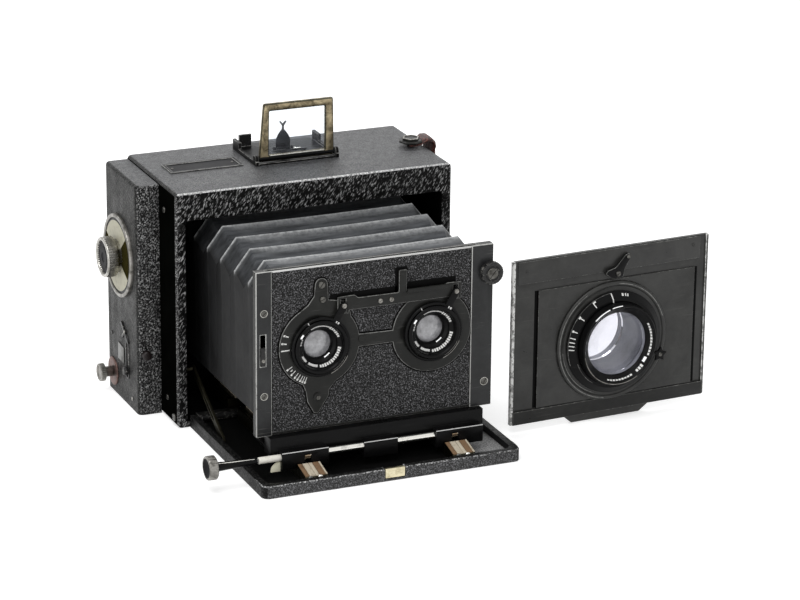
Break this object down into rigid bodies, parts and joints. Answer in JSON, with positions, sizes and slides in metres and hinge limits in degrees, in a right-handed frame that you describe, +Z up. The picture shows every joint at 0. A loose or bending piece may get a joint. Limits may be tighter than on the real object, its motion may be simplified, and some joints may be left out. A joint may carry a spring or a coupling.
{
  "type": "folding stereo camera",
  "caption": "Folding stereo plate camera with drop bed, bellows, paired lenses on a sliding standard, focal-plane shutter box, frame finder and a loose single-lens panel.",
  "frame": {"origin": "mouth of the tripod socket, in the middle of the underside of the camera body", "axes": "+X to the right as seen from the front, +Y from the lenses to the back, +Z up; the lenses look along -Y"},
  "size_m": [0.3051, 0.1892, 0.1654],
  "materials": {
    "leather_black": "black grained leather over wood",
    "leather_sheet": "black grained leather",
    "leather_strap": "red-brown leather",
    "cloth_bellows": "charcoal bellows leather with worn ridges",
    "cloth_shutter": "black rubbered cloth",
    "enamel_black": "black enamel, worn to bright metal at the edges",
    "nickel": "nickel plate",
    "steel": "bright steel",
    "brass": "bare brass",
    "brass_dark": "brown lacquered brass",
    "copper": "dull copper",
    "dial": "cream enamel with an olive sector",
    "ivory": "ivory",
    "roller": "turned wood",
    "glass": "polished",
    "glass_ground": "ground on one side"
  },
  "bodies": {
    "camera": {"body_shell": "leather_black", "mechanism_box": "leather_black", "name_plate": "enamel_black", "tripod_socket": "brass", "bed_tray": "leather_black", "bed_hinge": "enamel_black", "hinge_pins": "steel", "slide_rails": "brass", "bed_struts": "brass_dark", "bellows": "cloth_bellows", "bellows_frame": "enamel_black", "shutter_curtain": "cloth_shutter", "disc_ring": "nickel", "tension_plate": "copper", "finder_base": "enamel_black", "strap_stud": "brass_dark", "carry_strap": "leather_strap", "back_frame": "enamel_black", "ground_glass": "glass_ground", "case_screws": "nickel"},
    "carriage": {"carriage_base": "enamel_black", "standard_frame": "enamel_black", "rail_strips": "enamel_black", "standard_screws": "steel", "distance_pointer": "ivory"},
    "focus_shaft": {"focus_shaft": "nickel", "focus_pinions": "brass", "focus_knob": "nickel"},
    "lens_board": {"lens_board": "enamel_black", "board_leather": "leather_sheet", "ring_plate": "enamel_black", "lens_barrels": "enamel_black", "lens_glasses": "glass", "rear_cells": "enamel_black"},
    "iris_left": {"iris_ring_left": "enamel_black"},
    "iris_right": {"iris_ring_right": "enamel_black"},
    "iris_link": {"iris_link": "enamel_black"},
    "lock_knob": {"lock_knob": "enamel_black"},
    "rail_latch": {"rail_latch": "enamel_black"},
    "winding": {"winding_knob": "nickel", "winding_dial": "dial", "winding_gear": "brass"},
    "upper_roller": {"upper_roller": "roller", "roller_gear": "brass"},
    "lower_roller": {"lower_roller": "roller"},
    "tension_knob": {"tension_knob": "nickel"},
    "release_button": {"release_button": "brass_dark"},
    "time_lever": {"time_lever": "enamel_black"},
    "finder_frame": {"finder_frame": "brass_dark", "finder_lens": "glass"},
    "rear_sight": {"rear_sight": "steel"},
    "hood_cover": {"hood_cover": "leather_black"},
    "back_catch": {"back_catch": "nickel"},
    "bed_catch": {"bed_catch": "brass"},
    "panel": {"panel_plate": "enamel_black", "panel_flange": "enamel_black", "panel_barrel": "enamel_black", "panel_glass": "glass"},
    "panel_iris": {"panel_iris_ring": "enamel_black"},
    "panel_lever": {"panel_lever": "enamel_black"}
  },
  "joints": [
    {"name": "standard_slide", "type": "slide", "parent": "camera", "child": "carriage", "axis": [0, 1, 0], "range_m": [0, 0.06], "deforming": ["bellows"]},
    {"name": "focus_turn", "type": "hinge", "parent": "carriage", "child": "focus_shaft", "pos_m": [0, -0.1303, 0.0139], "axis": [1, 0, 0], "range_deg": [-1720, 0]},
    {"name": "board_rise", "type": "slide", "parent": "carriage", "child": "lens_board", "axis": [0, 0, 1], "range_m": [0, 0.015]},
    {"name": "iris_left_turn", "type": "hinge", "parent": "lens_board", "child": "iris_left", "pos_m": [-0.0315, -0.125, 0.0695], "axis": [0, 1, 0], "range_deg": [-10, 10]},
    {"name": "iris_right_turn", "type": "hinge", "parent": "lens_board", "child": "iris_right", "pos_m": [0.0315, -0.125, 0.0695], "axis": [0, 1, 0], "range_deg": [-10, 10]},
    {"name": "iris_link_slide", "type": "slide", "parent": "lens_board", "child": "iris_link", "axis": [1, 0, 0], "range_m": [-0.0038, 0.0038]},
    {"name": "lock_turn", "type": "hinge", "parent": "carriage", "child": "lock_knob", "pos_m": [0.0641, -0.125, 0.098], "axis": [0, 1, 0], "range_deg": [0, 180]},
    {"name": "latch_slide", "type": "slide", "parent": "carriage", "child": "rail_latch", "axis": [0, 0, 1], "range_m": [0, 0.006]},
    {"name": "winding_turn", "type": "hinge", "parent": "camera", "child": "winding", "pos_m": [-0.0923, 0.0155, 0.0828], "axis": [1, 0, 0], "range_deg": [0, 360]},
    {"name": "upper_roller_turn", "type": "hinge", "parent": "camera", "child": "upper_roller", "pos_m": [0, 0.0155, 0.1128], "axis": [1, 0, 0], "range_deg": [-720, 0]},
    {"name": "lower_roller_turn", "type": "hinge", "parent": "camera", "child": "lower_roller", "pos_m": [0, 0.0155, 0.0125], "axis": [1, 0, 0], "range_deg": [-720, 0]},
    {"name": "tension_turn", "type": "hinge", "parent": "camera", "child": "tension_knob", "pos_m": [-0.0923, 0.0292, 0.0115], "axis": [1, 0, 0], "range_deg": [0, 360]},
    {"name": "release_press", "type": "slide", "parent": "camera", "child": "release_button", "axis": [0, 1, 0], "range_m": [0, 0.002], "stiffness_N_per_m": 300},
    {"name": "time_slide", "type": "slide", "parent": "camera", "child": "time_lever", "axis": [0, 0, 1], "range_m": [0, 0.015]},
    {"name": "finder_fold", "type": "hinge", "parent": "camera", "child": "finder_frame", "pos_m": [0.0022, -0.0048, 0.1348], "axis": [-1, 0, 0], "range_deg": [0, 88]},
    {"name": "sight_fold", "type": "hinge", "parent": "camera", "child": "rear_sight", "pos_m": [0.0022, 0.0147, 0.1333], "axis": [-1, 0, 0], "range_deg": [0, 88]},
    {"name": "hood_open", "type": "hinge", "parent": "camera", "child": "hood_cover", "pos_m": [0, 0.0366, 0.011], "axis": [-1, 0, 0], "range_deg": [0, 90]},
    {"name": "back_bolt", "type": "slide", "parent": "hood_cover", "child": "back_catch", "axis": [0, 0, 1], "range_m": [0, 0.003]},
    {"name": "bed_catch_press", "type": "slide", "parent": "camera", "child": "bed_catch", "axis": [0, 1, 0], "range_m": [0, 0.0012], "stiffness_N_per_m": 400},
    {"name": "panel_lift", "type": "slide", "parent": "camera", "child": "panel", "axis": [0, 0, 1], "range_m": [0, 0.05]},
    {"name": "panel_iris_turn", "type": "hinge", "parent": "panel", "child": "panel_iris", "pos_m": [0.14377, -0.11295, 0.0445], "axis": [-0.0541, 0.9985, 0], "range_deg": [-20, 60]},
    {"name": "panel_lever_turn", "type": "hinge", "parent": "panel", "child": "panel_lever", "pos_m": [0.1458, -0.10984, 0.0824], "axis": [-0.0541, 0.9985, 0], "range_deg": [-30, 30]}
  ],
  "couplings": [
    {"joint": "focus_turn", "follows": "standard_slide", "rad_per_m": -500},
    {"joint": "iris_right_turn", "follows": "iris_left_turn", "ratio": 1},
    {"joint": "iris_link_slide", "follows": "iris_left_turn", "m_per_rad": 0.0208},
    {"joint": "upper_roller_turn", "follows": "winding_turn", "ratio": -2},
    {"joint": "lower_roller_turn", "follows": "winding_turn", "ratio": -2},
    {"joint": "sight_fold", "follows": "finder_fold", "ratio": 1}
  ]
}
